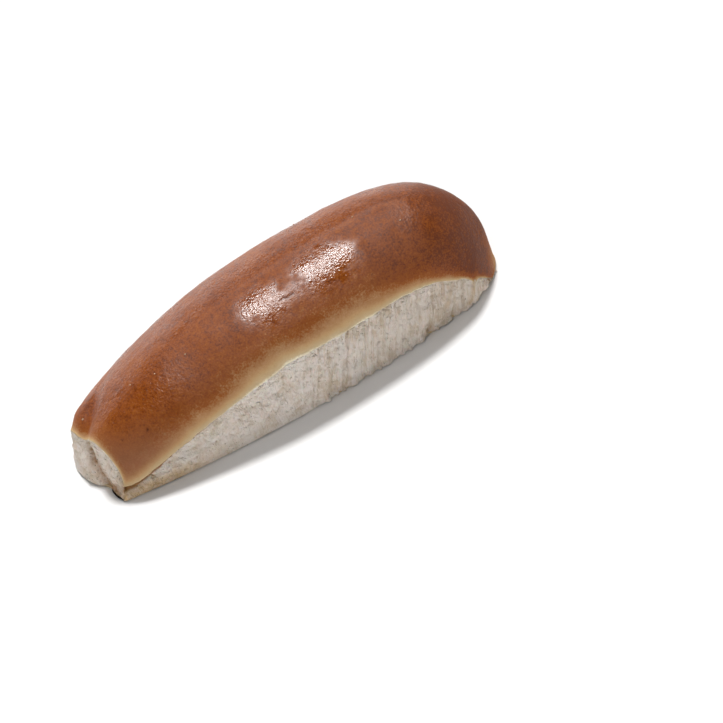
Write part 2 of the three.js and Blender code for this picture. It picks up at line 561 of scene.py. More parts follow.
def crust_material(colours):
    """Baked crust: browner away from the tear, freckled, and glossed with egg over fine wrinkles, with
    painted shade in its creases and at the right end, and a painted sheen near the left end.
    """
    material, tree, principled = new_material("bun_crust", {"Specular IOR Level": 0.23})
    place = place_of(tree)
    baked = attribute(tree, "baked")
    clouds = grain(tree, place, 20 * MM, 2.0)
    patches = grain(tree, place, 4 * MM, 2.0, 0.6)
    mottle = grain(tree, place, 1.7 * MM, 2.0, 0.6)
    freckles = grain(tree, place, 0.6 * MM, 2.0, 0.6)
    shade = baked * 0.88 + (clouds - 0.5) * 0.25 + (patches - 0.5) * 0.18
    shade = shade + ((mottle - 0.5) * 0.30 + (freckles - 0.5) * 0.60) * baked.step(0.45, 0.95, 0.2, 1.0)
    stops = (
        (0.0, colours.crust_edge),
        (0.10, colours.crust_pale),
        (0.38, colours.crust_tan),
        (0.70, colours.crust_brown),
        (0.86, colours.crust_main),
        (1.0, colours.crust_deep),
    )
    browned = node(tree, "ShaderNodeValToRGB", {"stops": stops}, {"Fac": shade})
    # Painted sheen: where the dull attribute says, the crust is greyed towards the sheen colour.
    dulled = mix_colours(tree, attribute(tree, "dull") * 0.75, browned, rgba(colours.crust_painted_sheen))
    # Painted shade in the creases and burst blisters, darker as they are deeper.
    marked = mix_colours(tree, attribute(tree, "marked") * 0.8, dulled, rgba(colours.crease_shade_tint), "MULTIPLY")
    link(tree, marked, principled, "Base Color")

    wrinkles = grain(tree, place, 0.66 * MM, 2.0, 0.6)
    cells = node(
        tree, "ShaderNodeTexVoronoi", {"feature": "SMOOTH_F1"}, {"Vector": place, "Scale": 1.0 / (1.1 * MM)}
    )
    bump(tree, principled, wrinkles * 0.65 + cells * 0.35, 0.28 * MM)
    gloss = baked.step(0.35, 0.85) * (attribute(tree, "glossy") + (mottle - 0.5) * 0.25)
    rough = grain(tree, place, 9 * MM, 2.0).step(0.35, 0.65, 0.0, 0.10)
    link(tree, 0.91 - gloss * 0.72 + rough, principled, "Roughness")
    return material


def strand_place(tree):
    """Object coordinates in which strands of crumb, that lean along the bun, are long upright lumps."""
    coordinates = node(tree, "ShaderNodeTexCoord", {}, {}, output="Object")
    inputs = {"Vector": coordinates}
    x, y, z = (node(tree, "ShaderNodeSeparateXYZ", {}, inputs, output=axis) for axis in "XYZ")
    return node(tree, "ShaderNodeCombineXYZ", {}, {"X": x - z * STRAND_LEAN, "Y": y * 0.5, "Z": z * 0.12})


CRUMB_TRANSLUCENCE = 0.12


def crumb_material(name, colours, translucence):
    """Torn crumb: off-white, matt, mottled and finely fibrous, and golden where it was pressed, with painted
    shade in its pits, under the crust's lip and at the foot of the left end's groove.
    """
    fixed = {"Specular IOR Level": 0.2, "Roughness": 0.9, "Subsurface Scale": 2 * MM}
    fixed["Subsurface Weight"] = translucence
    material, tree, principled = new_material(name, fixed)
    place = place_of(tree)
    clouds = grain(tree, place, 8 * MM, 2.0)
    mottle = grain(tree, place, 1.8 * MM, 3.0, 0.6)
    fibres = grain(tree, place_of(tree, (1.0, 1.0, 0.3)), 0.5 * MM, 2.0, 0.6)
    strands = grain(tree, strand_place(tree), 0.75 * MM, 2.0, 0.55)
    strandy = attribute(tree, "strandy")
    dull = (clouds * 0.42 + mottle * 0.32 + fibres * 0.26 + (strands - 0.5) * strandy * 0.5).step(0.44, 0.66)
    crumb = mix_colours(tree, dull, rgba(colours.crumb_light), rgba(colours.crumb_shade))
    # Painted shade in pits and holes, and darker towards the right.
    pit_shaded = mix_colours(tree, attribute(tree, "pit_shade") * 0.55, crumb, rgba(colours.crumb_pit_shade), "MULTIPLY")
    gold = attribute(tree, "gold") * mottle.step(0.25, 0.6, 0.55, 1.0)
    golden = mix_colours(tree, gold, pit_shaded, rgba(colours.crumb_gold))
    # Brown crumb in the groove, and painted shade at its foot.
    scar_brown_and_shade = attribute(tree, "scar_brown_and_shade") * mottle.step(0.3, 0.6, 0.5, 1.0)
    scar_browned_and_shaded = mix_colours(tree, scar_brown_and_shade, golden, rgba(colours.scar_brown_and_shade))
    # Toasted crumb and painted shadow under the crust's edge.
    seam_toasted_and_shaded = mix_colours(tree, attribute(tree, "seam") * 0.9, scar_browned_and_shaded, rgba(colours.seam))
    link(tree, seam_toasted_and_shaded, principled, "Base Color")
    bump(tree, principled, mottle * 0.55 + fibres * 0.6 + strands * strandy * 0.7, 0.8 * MM)
    return material


def base_material(colours):
    """The thin golden crust underneath, matt and faintly pitted."""
    material, tree, principled = new_material("bun_base", {"Specular IOR Level": 0.3, "Roughness": 0.7})
    place = place_of(tree)
    clouds = grain(tree, place, 14 * MM, 3.0)
    pits = grain(tree, place, 1.1 * MM, 2.0)
    brown = (clouds * 0.7 + pits * 0.3).step(0.45, 0.65)
    gold = mix_colours(tree, brown, rgba(colours.base_gold), rgba(colours.base_brown))
    link(tree, gold, principled, "Base Color")
    bump(tree, principled, pits, 0.2 * MM, 0.6)
    return material


# ---- Pieces ----

CRUST_GRID = (440, 200)
CRUST_INNER_EVERY = 4
CRUMB_GRID = (400, 56, 56)
BASE_GRID = (240, 20, 4)

# Short creases in the crust: where each starts and ends, and its depth.
CREASES = (
    ((14.0, -12.6, 41.0), (16.6, -13.5, 40.4), 0.17),
    ((1.0, -15.3, 38.7), (3.4, -16.0, 38.4), 0.20),
    ((3.4, -16.0, 38.4), (5.6, -15.7, 38.6), 0.16),
    ((22.0, -16.4, 38.2), (23.6, -16.8, 37.8), 0.10),
    ((-21.5, -6.0, 38.2), (-19.0, -6.5, 38.5), 0.08),
    ((36.0, 6.5, 43.0), (40.0, 7.2, 42.3), 0.12),
    ((-8.0, 9.5, 38.9), (-4.5, 9.0, 39.4), 0.12),
)
CREASE_WIDE = 0.32
PINHOLE_DEEP = 0.3
# The painted shade in creases and burst blisters is darkest at this depth.
MARK_FULL_SHADE = 0.2  # a mark this deep is as dark as marks get

# Patches where the egg wash dried glossiest: places along and across, lengths, widths and strengths.
GLOSS_PATCHES = ((18.0, -12.6, 11.0, 6.6, 1.0), (6.0, -14.4, 5.0, 3.6, 0.6), (-4.0, -13.4, 8.0, 6.2, 0.9))
PATCH_SHAPE = {"peak": 2.5, "rags": ((0.45, 4.0, 46), (0.45, 1.3, 53)), "level": 0.4}
# The matter streak round them, and the gloss of the even wash, of the streak and of the patches.
GLOSS_STREAK = {"y": -12.5, "wide": (11.0, 6.5), "left": (-44.0, -30.0), "right": (56.0, 42.0), "round": 1.5}
GLOSS = {"even": 0.9, "streak": 0.2, "patches": 1.0}
# Both ends are less glossy.
DULL_RIGHT = {"less": 0.45, "x": (48.0, 66.0), "y": (8.0, -2.0)}
DULL_LEFT = {"less": 0.5, "x": (-60.0, -72.0)}

# Small blisters that burst: the middle, and the width.
PINHOLES = (
    ((-53.4, -16.8, 20.9), 0.42),
    ((-61.5, -13.5, 19.4), 0.25),
    ((30.0, -19.5, 33.0), 0.25),
    ((-31.0, -18.0, 27.5), 0.25),
    ((12.0, 14.0, 38.0), 0.35),
    ((55.0, 9.0, 34.0), 0.3),
)
CRUMB_HOLES = (((-58.4, -19.1, 4.8), 0.55), ((-36.0, -21.5, 7.0), 0.4), ((-18.0, -23.0, 6.0), 0.4))

# Pale specks baked onto the crust: places along and across, and widths.
SPECKS = (
    (-50.8, -4.0, 0.55),
    (-67.8, 4.2, 0.75),
    (46.9, -11.0, 0.5),
    (34.8, -3.4, 0.5),
    (-43.0, -8.2, 0.5),
    (-32.4, -10.6, 0.45),
    (20.0, 12.0, 0.5),
    (-15.0, 15.0, 0.55),
)


def near_line(points, start, end, wide):
    """How near points are to a straight line between two places, from 0 to 1."""
    start, along = np.array(start), np.array(end) - np.array(start)
    share = clamp01((points - start) @ along / max(along @ along, 1e-9))
    apart = np.linalg.norm(points - start - share[..., None] * along, axis=-1)
    return bell(apart, wide)


def edge_raggedness(x, seed):
    """Small ups and downs of a torn edge, in millimetres."""
    line = np.stack([x, np.zeros_like(x), np.zeros_like(x)], axis=-1)
    return layered(line, ((0.17, 3.1, seed), (0.15, 1.2, seed + 1)))


# The baked skin's relief: its dimples, its long wrinkles along the back, and its wrinkles in the fold.
DIMPLES = ((0.10, 6.0, 41), (0.045, 2.4, 42), (0.034, 1.15, 43))
BACK_WRINKLES = {"layer": (0.12, 1.9, 44), "long": 5.5, "y": (-2.0, 10.0)}
FOLD_WRINKLES = {"layer": (0.11, 1.1, 48), "long": 7.0, "wide": 2.6}


def crust_relief(points):
    """Dimples and fine wrinkles of the baked skin, in millimetres outwards."""
    x, y = points[..., 0], points[..., 1]
    behind = layered(points / (BACK_WRINKLES["long"], 1.0, 1.0), [BACK_WRINKLES["layer"]])
    along_fold = np.stack([y - FOLD["slope"] * x, x / FOLD_WRINKLES["long"], 0.0 * x], axis=-1)
    folded = layered(along_fold, [FOLD_WRINKLES["layer"]]) * fold_share(points, FOLD_WRINKLES["wide"])
    return layered(points, DIMPLES) + behind * smooth(*BACK_WRINKLES["y"], y) + folded


# How wide the pale band above the tear is, at places along the bun, and at the front and back of the end.
BAND_PLACES = (-60.0, -30.0, -5.0, 20.0, 42.0, 60.0)
BAND_WIDTHS = (1.0, 1.0, 1.3, 1.15, 0.5, 0.22)
BAND_WANDER = (0.2, 14.0, 51)
END_BAND = {"front": 0.40, "back": 0.44, "y": (-1.0, 5.0), "start": 0.2}
WRAPPED = {"tear": (5.0, 1.5), "more": 1.2}  # where the crust wraps down to the foot it browns at once
# Where the crust is browner, paler or duller than its distance from the tear alone would make it, with
# painted shade on the right end and painted sheen on the front of the left end.
BROWN_FRONT = {"more": 0.9, "x": (-25.0, -55.0)}
PAINTED_SHADE_RIGHT = {"more": 0.14, "x": (38.0, 68.0)}
BROWN_LOBE = {"more": 0.1, "x": (-56.0, -66.0), "y": (-3.0, 3.0)}
PALE_TIP = {"less": 0.42, "x": (64.0, 74.0), "z": (19.0, 3.0), "y": -4.5, "wide": 7.0, "rags": (3.0, 5.0, 52)}
# Painted sheen on the front of the left end, low on the crust and a little away from its edge.
PAINTED_SHEEN_FRONT = {"x": (-34.0, -60.0), "z": (27.0, 12.0), "edge": (0.3, 5.0)}
BROWNING_LENGTH = 5.0  # millimetres from a torn edge in which the crust browns
BROWNING_JOIN = -3.0  # the power that joins the browning from two edges
BROWNING_LEAST = 0.05


def baked_shade(from_side, from_end, wrapped, points):
    """How brown the crust is: 0 at its torn edges, and about 1 where it browned most, with painted shade at
    the right end.
    """
    x, y, z = np.moveaxis(points, -1, 0)
    side_band = np.interp(x, BAND_PLACES, BAND_WIDTHS) * (1.0 + layered(points, [BAND_WANDER]))
    end_band = mix(END_BAND["front"], END_BAND["back"], smooth(*END_BAND["y"], y))
    side = (from_side + WRAPPED["more"] * wrapped) / side_band
    side = side + BROWN_FRONT["more"] * smooth(*BROWN_FRONT["x"], x) * (y < 0)
    end = from_end / end_band + END_BAND["start"]
    both = sum(np.maximum(rise, BROWNING_LEAST) ** BROWNING_JOIN for rise in (side, end))
    baked = 1.0 - np.exp(-(both ** (1.0 / BROWNING_JOIN)) / BROWNING_LENGTH)

    # The right end is darker with painted shade, but for a pale place at the right tip's foot, and the lobe
    # behind the fold is browner.
    foot = smooth(*PALE_TIP["z"], z + layered(points, [PALE_TIP["rags"]]))
    pale_tip = smooth(*PALE_TIP["x"], x) * foot * bell(y - PALE_TIP["y"], PALE_TIP["wide"])
    baked = baked * (1.0 - PALE_TIP["less"] * pale_tip)
    baked = baked + PAINTED_SHADE_RIGHT["more"] * smooth(*PAINTED_SHADE_RIGHT["x"], x) * (1.0 - pale_tip)
    return baked + BROWN_LOBE["more"] * smooth(*BROWN_LOBE["x"], x) * smooth(*BROWN_LOBE["y"], y)


def egg_gloss(points):
    """How glossy the egg wash is: even, but matt along the top's front round a few glossy patches."""
    x, y = points[..., 0], points[..., 1]
    rags = 1.0 + layered(points, PATCH_SHAPE["rags"])
    patchy = 0.0 * x
    for at, aside, long, wide, strength in GLOSS_PATCHES:
        patch = PATCH_SHAPE["peak"] * np.exp(-(((x - at) / long) ** 2) - ((y - aside) / wide) ** 2)
        patchy = np.maximum(patchy, strength * clamp01(patch * rags - PATCH_SHAPE["level"]))
    streak = smooth(*GLOSS_STREAK["wide"], np.abs(y - GLOSS_STREAK["y"]))
    streak = streak * smooth(*GLOSS_STREAK["left"], x) * smooth(*GLOSS_STREAK["right"], x)
    streak = np.maximum(streak, clamp01(GLOSS_STREAK["round"] * patchy))
    glossy = mix(GLOSS["even"], mix(GLOSS["streak"], GLOSS["patches"], patchy), streak)
    ends = DULL_RIGHT["less"] * smooth(*DULL_RIGHT["x"], x) * smooth(*DULL_RIGHT["y"], y)
    return glossy * (1.0 - ends - DULL_LEFT["less"] * smooth(*DULL_LEFT["x"], x))


# How the crust's torn edges end: raggedness that fades away from them, a flare, and a thinner lip.
RAGS = {"side_seed": 11, "back_shift": 40.0, "end_seed": 31, "end": 0.8, "fade": 1.2}
FLARE = {"reach": 0.8, "end": 0.1}
CALM_EDGE = (0.5, 3.0)  # the relief starts between these distances from an edge
THICKENING = (0.5, 5.0)  # the crust reaches its full thickness between these
CREASE_WANDER = (0.35, 0.9, 45)
CRUST_CROWDING = 0.75  # how much the crust's columns crowd towards its edges


def build_crust(sizes, material):
    along, across = CRUST_GRID
    place = even_rows(along)[:, None]
    sideways = even_columns(across, CRUST_CROWDING)[None, :]
    outer = skin(place, sideways, np.ones((1, 1)))
    cut = section(place)

    # How far each point is from the torn edges, measured over the skin.
    steps = np.linalg.norm(np.diff(outer, axis=1), axis=-1)
    walked = np.concatenate([np.zeros((along + 1, 1)), np.cumsum(steps, axis=1)], axis=1)
    from_side = np.minimum(walked, walked[:, -1:] - walked)
    from_end = (1.0 + place) * HALF + 0.0 * sideways
    from_edge = np.minimum(from_side, from_end)
    front = sideways < 0
    wrapped = smooth(*WRAPPED["tear"], np.where(front, cut["front_tear"], cut["back_tear"]))
    x, y, z = np.moveaxis(outer, -1, 0)
    # The dull attribute holds painted sheen.
    dull = smooth(*PAINTED_SHEEN_FRONT["x"], x) * smooth(*PAINTED_SHEEN_FRONT["z"], z) * (y < 0)
    dull = dull * smooth(*PAINTED_SHEEN_FRONT["edge"], from_edge)
    baked = baked_shade(from_side, from_end, wrapped, outer)
    shades = {"baked": baked, "dull": dull, "glossy": egg_gloss(outer)}

    # The torn edges are ragged, and droop over the left end and where a strip bridges the right end's tear.
    # x, y and z are views of the points, so what changes z moves them.
    shift = np.where(front, 0.0, RAGS["back_shift"])
    ragged = edge_raggedness(outer[:, :1, 0] + shift, RAGS["side_seed"]) * (1.0 - wrapped)
    bridge = BRIDGE_DROOP["deep"] * bell(x - BRIDGE["top"][0], BRIDGE_DROOP["wide"]) * front
    z += ragged * np.exp(-from_side / RAGS["fade"]) - bridge * np.exp(-from_side / BRIDGE_DROOP["fade"])
    z -= RAGS["end"] * edge_raggedness(y, RAGS["end_seed"]) * np.exp(-from_end / RAGS["fade"])
    droop_end(outer, from_end, 1.0)

    # Creases and burst blisters are pressed in and get painted shade by their depth, and the edges flare out.
    inward = towards_core(outer)
    wobbly = outer + layered(outer, [CREASE_WANDER])[..., None]
    marks = sum(depth * near_line(wobbly, start, end, CREASE_WIDE) for start, end, depth in CREASES)
    marks = marks + sum(PINHOLE_DEEP * near_line(outer, middle, middle, wide) for middle, wide in PINHOLES)
    shades["marked"] = clamp01(marks / MARK_FULL_SHADE)
    side_flare, end_flare = (bell(away, FLARE["reach"]) for away in (from_side, from_end))
    lip = sizes.lip_flare / MM * (side_flare + FLARE["end"] * end_flare)
    outer -= inward * (lip + crust_relief(outer) * smooth(*CALM_EDGE, from_edge) - marks)[..., None]

    full, thin = sizes.crust_thickness / MM, sizes.lip_thickness / MM
    thickness = mix(thin, full, smooth(*THICKENING, from_edge))
    every = CRUST_INNER_EVERY
    inner = (outer + inward * thickness[..., None])[::every, ::every]
    points = np.concatenate([outer.reshape(-1, 3), inner.reshape(-1, 3)])
    hidden = np.zeros(len(points) - marks.size)
    attributes = {name: np.concatenate([values.ravel(), hidden]) for name, values in shades.items()}
    return new_piece("crust", points, shell_faces(outer.shape[:2], every), attributes, material)


# Torn crumb: soft lumps, sharp ones, and strands on the right half, which climb steeply.
SOFT_LUMPS = ((0.34, 3.4, 61),)
SHARP_LUMPS = ((0.55, 2.1, 62), (0.35, 1.1, 63))
LUMPS_LEVEL = 0.22
STRANDS = {"layers": ((0.50, 1.7, 64), (0.36, 0.8, 65)), "squeeze": 0.5, "long": 9.0, "calm": 0.6}
STRANDS_FROM = {"relief": (-25.0, 25.0), "colour": (-20.0, 20.0)}
# Strands also hang ragged round the foot of the right half.
TEETH = {"layers": ((1.0, 2.1, 71), (0.9, 0.8, 72)), "squeeze": 0.3, "level": 0.3}
TEETH_FROM = {"x": (-12.0, 12.0), "height": (0.28, 0.0)}

# Where the torn faces' relief fades: by the right tip, the left end, the foot and the crust's edge.
SIDE_FADE, END_FADE, FOOT_FADE, TOP_FADE = (0.0, 2.6), (0.0, 1.7), (0.0, 0.08), (1.0, 0.85)
FACE_POWER = 6  # more keeps the relief nearer to the long sides
LEFT_PART = (-15.0, -45.0)  # the left part of the long sides, which is calmer
CALM = {"foot": 0.45, "height": (0.3, 0.0)}
END_ROUGH = {"front": 0.9, "back": 0.45, "y": (4.0, 10.0)}
GROOVE = {"deep": 1.7, "wide": 1.3, "top": (1.0, 0.9), "foot": 0.5, "z": (0.0, 5.0)}
TUCK = {"left": 1.6, "end": 0.3, "face": 0.97, "height": (0.4, 0.85)}  # how the crumb stands back at its top
CRUMB_HOLE_DEEP = 1.2

# Brown crumb in the groove of the left end, painted shade at its foot, and pressed golden crumb along the
# foot.
SCAR = {"wide": 1.3, "beside": 2.7, "aside": 1.2, "z": (14.0, 11.0), "more": 1.25, "rags": (0.45, 2.2, 66)}
FOOT_SHADE = {"z": (5.5, 1.5), "y": -10.2, "wide": 3.4}
GOLD_FOOT = {"x": (-24.0, -58.0), "z": (6.5, 2.0), "back": 0.25, "end": 0.5, "corner": (-0.6, -1.0)}
GOLD = {"scar_brown_and_shade": 0.5, "bridge": 0.7, "foot": 0.8}
# The seam under the crust's edge, on the left half, and how wide it is: toasted crumb at the far left, and
# painted shadow under the crust's lip further right.
SEAM = {"wide": (1.1, 2.2), "widens": (-44.0, -58.0), "fade": (1.0, 0.68), "x": (-28.0, -46.0)}
# Painted shade: how deep a pit is fully shaded, and how much shade the right half gets.
PIT_SHADE = {"deep": 0.7, "right": 0.3, "x": (5.0, 45.0)}
TORN = {"least": 0.6, "top": 1.6, "height": (0.75, 0.95), "foot": 0.04}  # where loose shreds cling


def block_grid(grid):
    """A block's faces, and its points' places along, sideways and up (from 0 to 1)."""
    along, across, up = grid
    lattice, faces = box_grid(along, across, up)
    i, j, k = lattice.T
    return even_rows(along)[i], np.linspace(-1.0, 1.0, across + 1)[j], k / up, faces


def torn_lumps(points, sideways):
    """The lumps, pits and strands of torn crumb, in millimetres outwards."""
    x, y, z = points.T
    sharp = sum(deep * np.abs(noise(points, size, seed)) for deep, size, seed in SHARP_LUMPS)
    lumps = layered(points, SOFT_LUMPS) + sharp - LUMPS_LEVEL
    along_strands = np.stack([x - STRAND_LEAN * z, y * STRANDS["squeeze"], z / STRANDS["long"]], axis=-1)
    strandy = smooth(*STRANDS_FROM["relief"], x) * (np.abs(sideways) > 0.5)
    return lumps * mix(1.0, STRANDS["calm"], strandy) + layered(along_strands, STRANDS["layers"]) * strandy


def build_crumb(sizes, material):
    place, sideways, level, faces = block_grid(CRUMB_GRID)
    height = 1.0 - (1.0 - level) ** 1.2
    points = skin(place, sideways, height)
    from_left, from_right = (1.0 + place) * HALF, (1.0 - place) * HALF
    droop_end(points, from_left, smooth(0.2, 1.0, height))
    square_corner(points, from_left, sideways, height)
    x, y, z = points.T
    front = sideways < 0
    top = level == 1.0

    # The torn faces are lumpy and pitted, and stand a little back under the crust's edge.
    side = np.sign(sideways) * np.abs(sideways) ** FACE_POWER * smooth(*SIDE_FADE, from_right) * ~top
    end = (1.0 - smooth(*END_FADE, from_left)) * ~top
    inside = np.sqrt(clamp01(4.0 * height * (1.0 - height)))
    side_lumps = wander(x / TEAR_RELIEF["long"], z / TEAR_RELIEF["high"], 3.0 + np.sign(sideways))
    end_lumps = wander(y / TEAR_RELIEF["long"], z / TEAR_RELIEF["high"], 7.0)
    rough = torn_lumps(points, sideways) * smooth(*FOOT_FADE, height)
    groove = GROOVE["deep"] * end * fold_share(points, GROOVE["wide"]) * smooth(*GROOVE["top"], height)
    groove = groove * mix(GROOVE["foot"], 1.0, smooth(*GROOVE["z"], z))
    holes = sum(near_line(points, middle, middle, wide) for middle, wide in CRUMB_HOLES)
    left = smooth(*LEFT_PART, x)
    face_only = end * (np.abs(sideways) < TUCK["face"])
    tuck = sizes.lip_overhang / MM * (1.0 + TUCK["left"] * left * front) * mix(1.0, TUCK["end"], face_only)
    shifts = towards_core(points) * (tuck * smooth(*TUCK["height"], height))[:, None]
    calm = mix(1.0, CALM["foot"], left * smooth(*CALM["height"], height))
    deep = TEAR_RELIEF["deep"] * inside
    shifts[:, 1] += side * (deep * side_lumps + rough * calm - CRUMB_HOLE_DEEP * holes)
    end_rough = mix(END_ROUGH["front"], END_ROUGH["back"], smooth(*END_ROUGH["y"], y))
    end_rough = rough * smooth(*TOP_FADE, height) * end_rough
    shifts[:, 0] -= end * (deep * end_lumps + end_rough) - groove

    line = np.stack([x + STRAND_LEAN * z, y * TEETH["squeeze"], 0.0 * z], axis=-1)
    ragged = smooth(*TEETH_FROM["x"], x) * smooth(*TEETH_FROM["height"], height) * np.abs(side)
    shifts[:, 1] += side * ragged * (layered(line, TEETH["layers"]) - TEETH["level"])
    points = points + shifts
    points[:, 2] = np.maximum(points[:, 2], 0.5 * sizes.base_thickness / MM)
    bridge = near_line(points, BRIDGE["top"], BRIDGE["foot"], BRIDGE["wide"])
    points[:, 1] -= BRIDGE["out"] * bridge * (sideways < -0.5)

    # The brown groove, the painted shade at its foot and the golden places are found on the finished shape,
    # and the others before it was roughened.
    _, moved_y, moved_z = points.T
    # Painted shade at the foot of the left end, by the groove.
    foot_shade = smooth(*FOOT_SHADE["z"], moved_z) * bell(moved_y - FOOT_SHADE["y"], FOOT_SHADE["wide"])
    beside = fold_share(points + (0.0, SCAR["aside"], 0.0), SCAR["beside"]) * smooth(*SCAR["z"], moved_z)
    scar_brown_and_shade = np.maximum(fold_share(points, SCAR["wide"]), np.maximum(beside, foot_shade))
    scar_brown_and_shade = end * scar_brown_and_shade * smooth(*TOP_FADE, height) * (SCAR["more"] + layered(points, [SCAR["rags"]]))
    foot = smooth(*GOLD_FOOT["x"], points[:, 0]) * smooth(*GOLD_FOOT["z"], moved_z)
    flanks = np.abs(side) * mix(GOLD_FOOT["back"], 1.0, front)
    flanks = flanks + GOLD_FOOT["end"] * end * smooth(*GOLD_FOOT["corner"], sideways)
    face = clamp01(np.abs(side) + end)
    cut = section(place)
    below = np.where(front, cut["front_tear"], cut["back_tear"]) - z
    # The seam: toasted crumb and painted shadow under the crust's edge.
    seam = smooth(*SEAM["fade"], below / mix(*SEAM["wide"], smooth(*SEAM["widens"], x)))
    ragged_top = TORN["least"] + TORN["top"] * smooth(*TORN["height"], height)
    attributes = {
        "torn": face * (height > TORN["foot"]) * ragged_top,
        "gold": clamp01(GOLD["scar_brown_and_shade"] * scar_brown_and_shade + GOLD["bridge"] * bridge + GOLD["foot"] * foot * flanks),
        # Painted shade in the pits and holes of the torn faces, more towards the right.
        "pit_shade": (clamp01(-rough / PIT_SHADE["deep"]) + PIT_SHADE["right"] * smooth(*PIT_SHADE["x"], x)) * face + holes,
        "seam": seam * smooth(*SEAM["x"], x) * np.abs(side),
        "scar_brown_and_shade": clamp01(0.9 * scar_brown_and_shade),
        "strandy": smooth(*STRANDS_FROM["colour"], x) * face,
    }
    return new_piece("crumb", points, faces, attributes, material)


# The bottom crust: its rim is rounded, and it stands back under the strands of the right half.
BASE_RIM = {
    "round": 0.3,
    "edge": 0.96,
    "back": 0.5,
    "back_right": 0.9,
    "right": (-15.0, 20.0),
    "tip": (74.0, 66.0),
}
BASE_END = {"back": 0.55, "reach": 4.0}


def build_base(sizes, material):
    place, sideways, level, faces = block_grid(BASE_GRID)
    points = skin(place, sideways, np.zeros(len(place)))
    from_left = (1.0 + place) * HALF
    square_corner(points, from_left, sideways, 0.0)
    rounding = BASE_RIM["round"] * (1.0 - np.sqrt(1.0 - (2.0 * level - 1.0) ** 2 * BASE_RIM["edge"]))
    back = BASE_RIM["back"] + BASE_RIM["back_right"] * smooth(*BASE_RIM["right"], points[:, 0])
    inset = back * smooth(*BASE_RIM["tip"], points[:, 0]) + rounding
    points[:, 1] -= np.sign(sideways) * np.abs(sideways) ** 3 * inset
    points[:, 0] += BASE_END["back"] * smooth(BASE_END["reach"], 0.0, from_left)
    points[:, 2] = level * sizes.base_thickness / MM
    return new_piece("base_crust", points, faces, {}, material)


def build_specks(material):
    """Little flattened lumps sunk in the crust, as one mesh."""
    sphere = bmesh.new()
    bmesh.ops.create_icosphere(sphere, subdivisions=2, radius=0.5)
    sphere.verts.ensure_lookup_table()
    ball = np.array([vertex.co for vertex in sphere.verts])
    loops = [[vertex.index for vertex in face.verts] for face in sphere.faces]
    sphere.free()
    rows = even_rows(600)[:, None]
    dome = skin(rows, even_columns(300, 0.6)[None, :], np.ones((1, 1))).reshape(-1, 3)
    points, faces = [], []
    for x, y, wide in SPECKS:
        nearest = dome[np.argmin((dome[:, 0] - x) ** 2 + (dome[:, 1] - y) ** 2)]
        lump = ball * wide * (1.0, 0.8, 0.6) * (1.0 + 0.25 * noise(ball + x, 0.5, 81)[:, None])
        faces += [[number + len(ball) * len(points) for number in loop] for loop in loops]
        points.append(lump + nearest - towards_core(nearest[None])[0] * 0.05)
    points = np.concatenate(points)
    return new_piece("crust_specks", points, faces, {"gold": np.full(len(points), 0.75)}, material)


# ---- Scattered shreds ----


SHRED_INPUTS = {
    "Surface": "Geometry",
    "Density": "Float",
    "Length": "Float",
    "Seed": "Int",
    "Material": "Material",
    "Weight name": "String",
}
SHRED_SIZES = ((0.45, 0.30, 0.16), (1.2, 0.75, 0.36))  # the least and the most, as shares of the length
SHRED_TURNS = ((-0.35, -0.35, -3.1), (0.35, 0.35, 3.1))
TURN_SEED = 5


def shred_tree():
    """Geometry Nodes: small bent lumps strewn over a surface, as dense as its attribute says."""
    tree = bpy.data.node_groups.new("strewn_shreds", "GeometryNodeTree")
    for name, kind in SHRED_INPUTS.items():
        tree.interface.new_socket(name, in_out="INPUT", socket_type="NodeSocket" + kind)
    tree.interface.new_socket("Shreds", in_out="OUTPUT", socket_type="NodeSocketGeometry")
    entry = tree.nodes.new("NodeGroupInput")

    def given(name):
        return Shade(tree, entry.outputs[name])

    inputs = {"Name": given("Weight name")}
    weight = node(tree, "GeometryNodeInputNamedAttribute", {"data_type": "FLOAT"}, inputs)
    spread = tree.nodes.new("GeometryNodeDistributePointsOnFaces")
    tree.links.new(entry.outputs["Surface"], spread.inputs["Mesh"])
    tree.links.new((weight * given("Density")).socket, spread.inputs["Density"])
    tree.links.new(entry.outputs["Seed"], spread.inputs["Seed"])

    lump = node(tree, "GeometryNodeMeshIcoSphere", {}, {"Radius": 0.5, "Subdivisions": 1})
    dents = node(tree, "ShaderNodeTexNoise", {}, {"Scale": 1.7, "Detail": 1.0}, output="Color")
    offset = node(tree, "ShaderNodeVectorMath", {"operation": "SUBTRACT"}, {0: dents, 1: (0.5, 0.5, 0.5)})
    bent = node(tree, "GeometryNodeSetPosition", {}, {"Geometry": lump, "Offset": offset})

    def any_between(limits, seed):
        inputs = {0: limits[0], 1: limits[1], "Seed": seed}
        return node(tree, "FunctionNodeRandomValue", {"data_type": "FLOAT_VECTOR"}, inputs)

    size = any_between(SHRED_SIZES, given("Seed"))
    scale = node(tree, "ShaderNodeVectorMath", {"operation": "SCALE"}, {0: size, "Scale": given("Length")})
    turn = any_between(SHRED_TURNS, TURN_SEED)
    inputs = {"Rotation": Shade(tree, spread.outputs["Rotation"]), "Rotate By": turn}
    rotation = node(tree, "FunctionNodeRotateRotation", {"rotation_space": "LOCAL"}, inputs)
    points = Shade(tree, spread.outputs["Points"])
    inputs = {"Points": points, "Instance": bent, "Rotation": rotation, "Scale": scale}
    strewn = node(tree, "GeometryNodeInstanceOnPoints", {}, inputs)
    real = node(tree, "GeometryNodeRealizeInstances", {}, {"Geometry": strewn})
    painted = node(tree, "GeometryNodeSetMaterial", {}, {"Geometry": real, "Material": given("Material")})
    leave = tree.nodes.new("NodeGroupOutput")
    tree.links.new(painted.socket, leave.inputs["Shreds"])
    return tree


